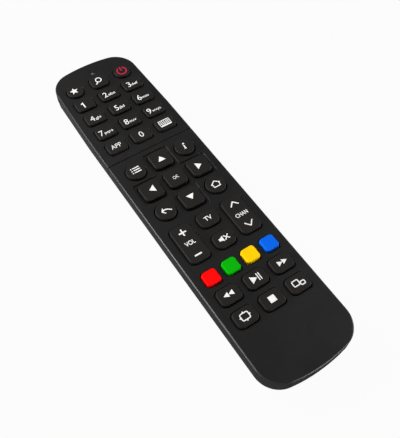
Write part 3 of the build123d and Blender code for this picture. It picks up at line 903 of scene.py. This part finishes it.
# Cells: a jacket with rolled rims, a flat negative end and a raised nub
cell = {
    "radius": 5.25, "length": 44.5, "sides": 72, "nubRadius": 1.9, "nubHeight": 0.8, "axisHeight": 7.05,
    "rimWidth": 0.5, "rimHeight": 0.25, "flatRim": 0.7, "flatSink": 0.15, "easing": 0.18,
    "easingSteps": 3, "sharpAngle": 40, "bandLength": 7.5, "bandEdge": 0.05,
}
cellPlaces = {  # place across, place of the flat end, way to the nub
    "battery_left": (-5.6, -63.6, 1), "battery_right": (5.6, -22.9, -1),
}
jacketValues = {
    "film": (0.035, 0.045, 0.060), "cloudFilm": (0.045, 0.056, 0.072), "band": (0.72, 0.42, 0.14),
    "metallic": (0.35, 0.95), "roughness": (0.34, 0.24), "grainPerMetre": 1500.0, "dust": 0.1,
    "bump": 0.06, "bumpDistance": 0.00004,
}


# A plain printed film with a gold band at the positive end, by place along the cell
def makeJacket(name, bandFrom, bandTo, values):
    material, tree, shader = newMaterial(name)
    edge = mapRange(tree, splitAxis(tree, objectPlace(tree), "Y"), bandFrom * mm, bandTo * mm)
    grain = placeGroup(tree, grainGroup, {"Grain per metre": values["grainPerMetre"]})
    smudge = placeGroup(tree, useGroup, {"Dust amount": values["dust"]}).outputs["Smudge"]
    film = mixColour(tree, grain.outputs["Cloud"], values["film"], values["cloudFilm"])
    tree.links.new(mixColour(tree, edge, film, values["band"]), shader.inputs["Base Color"])
    tree.links.new(mapRange(tree, edge, 0.0, 1.0, *values["metallic"]), shader.inputs["Metallic"])
    tree.links.new(mapRange(tree, smudge, 0.0, 1.0, *values["roughness"]), shader.inputs["Roughness"])
    addBump(tree, shader, grain.outputs["Height"], values)
    return material


def modelCell(name, across, flatEnd, way):
    deselectAll()
    body = cell["length"] - cell["nubHeight"]
    middle = flatEnd + way * body / 2
    bpy.ops.mesh.primitive_cylinder_add(
        vertices=cell["sides"], radius=cell["radius"] * mm, depth=body * mm,
        location=(across * mm, middle * mm, cell["axisHeight"] * mm), rotation=(radians(-90 * way), 0, 0),
    )
    piece = bpy.context.object
    piece.name = name + "_cell"
    applyPlace(piece)
    startEdit(piece, "FACE", lambda face: face.normal.y * way > towards)
    bpy.ops.mesh.inset(thickness=cell["rimWidth"] * mm)
    bpy.ops.transform.translate(value=(0, -way * cell["rimHeight"] * mm, 0))
    bpy.ops.mesh.inset(thickness=(cell["radius"] - cell["rimWidth"] - cell["nubRadius"]) * mm)
    rise = way * (cell["nubHeight"] + cell["rimHeight"]) * mm
    bpy.ops.mesh.extrude_region_move(TRANSFORM_OT_translate={"value": (0, rise, 0)})
    endEdit()
    startEdit(piece, "FACE", lambda face: face.normal.y * way < -towards)
    bpy.ops.mesh.inset(thickness=cell["flatRim"] * mm)
    bpy.ops.transform.translate(value=(0, way * cell["flatSink"] * mm, 0))
    endEdit()
    addModifier(
        piece, "BEVEL", width=cell["easing"] * mm, segments=cell["easingSteps"], limit_method="ANGLE",
        angle_limit=radians(cell["sharpAngle"]),
    )
    smoothShade(piece, cell["sharpAngle"])
    band = flatEnd + way * body - way * cell["bandLength"]
    setMaterial(piece, makeJacket(name + "Jacket", band, band + way * cell["bandEdge"], jacketValues))
    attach(piece, "housing")
    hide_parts(name)


for name, (across, flatEnd, way) in cellPlaces.items():
    modelCell(name, across, flatEnd, way)
print("cells modelled")


# Floor: almost white for the camera, with the shadow of the remote, and a dim grey for the remote
floorValues = {"size": 6.0, "colour": 0.25, "roughness": 0.8, "glow": 1.0, "glowShare": 0.96}


def makeFloor(values):
    material, tree, shader = newMaterial("paleFloor")
    feed(tree, shader.inputs["Base Color"], grey(values["colour"]))
    shader.inputs["Roughness"].default_value = values["roughness"]
    bright = addNode(tree, "ShaderNodeEmission")
    bright.inputs["Strength"].default_value = values["glow"]
    rays = addNode(tree, "ShaderNodeLightPath")
    seen = addMath(tree, "MAXIMUM", rays.outputs["Is Camera Ray"], rays.outputs["Is Transmission Ray"])
    mix = addNode(tree, "ShaderNodeMixShader")
    tree.links.new(addMath(tree, "MULTIPLY", seen, values["glowShare"]), mix.inputs["Fac"])
    tree.links.new(shader.outputs["BSDF"], mix.inputs[1])
    tree.links.new(bright.outputs["Emission"], mix.inputs[2])
    tree.links.new(mix.outputs["Shader"], tree.nodes["Material Output"].inputs["Surface"])
    deselectAll()
    bpy.ops.mesh.primitive_plane_add(size=values["size"], location=(0, 0, 0))
    floor = bpy.context.object
    floor.name = "floor"
    setMaterial(floor, material)


# World: white where the camera sees it, and a weak light from all sides
worldValues = {"weak": 0.08, "white": 1.0}


def makeWorld(values):
    world = bpy.data.worlds.new("studio")
    bpy.context.scene.world = world
    world.use_nodes = True
    tree = world.node_tree
    background = tree.nodes["Background"]
    feed(tree, background.inputs["Color"], grey(1))
    rays = addNode(tree, "ShaderNodeLightPath")
    strength = mapRange(tree, rays.outputs["Is Camera Ray"], 0.0, 1.0, values["weak"], values["white"])
    tree.links.new(strength, background.inputs["Strength"])


lamps = {  # place in metres, size in metres, power in watts
    "mainSoftbox": ((-0.42, 0.64, 0.74), (0.4, 0.4), 10.5),
    "rightFill": ((0.80, -0.05, 0.62), (0.4, 0.4), 2.8),
    "leftStrip": ((-0.83, 0.33, 0.225), (0.45, 0.13), 7.0),
    "frontStrip": ((0.285, -0.84, 0.124), (0.45, 0.12), 3.0),
    "rightStrip": ((0.84, -0.28, 0.10), (0.35, 0.15), 4.0),
}


def makeLamps():
    for name, (place, size, power) in lamps.items():
        deselectAll()
        bpy.ops.object.light_add(type="AREA", location=place)
        lamp = bpy.context.object
        lamp.name = name
        lamp.data.shape = "RECTANGLE"
        lamp.data.size, lamp.data.size_y = size
        lamp.data.energy = power
        lamp.rotation_euler = (-Vector(place)).to_track_quat("-Z", "Y").to_euler()


# Camera, solved from the photograph: place in metres, turn in degrees, lens and sensor in millimetres
cameraValues = {
    "place": (-0.08341, -0.12803, 0.23394), "turn": (32.517, -1.237, -33.816), "lens": 47.75,
    "sensor": 36.0, "near": 0.01, "far": 20.0,
}


def makeCamera(values):
    deselectAll()
    turn = tuple(radians(angle) for angle in values["turn"])
    bpy.ops.object.camera_add(location=values["place"], rotation=turn)
    camera = bpy.context.object
    camera.data.lens = values["lens"]
    camera.data.sensor_width = values["sensor"]
    camera.data.clip_start = values["near"]
    camera.data.clip_end = values["far"]
    bpy.context.scene.camera = camera


makeFloor(floorValues)
makeWorld(worldValues)
makeLamps()
makeCamera(cameraValues)
bpy.context.scene.view_settings.view_transform = "Standard"
print("floor, light and camera set")
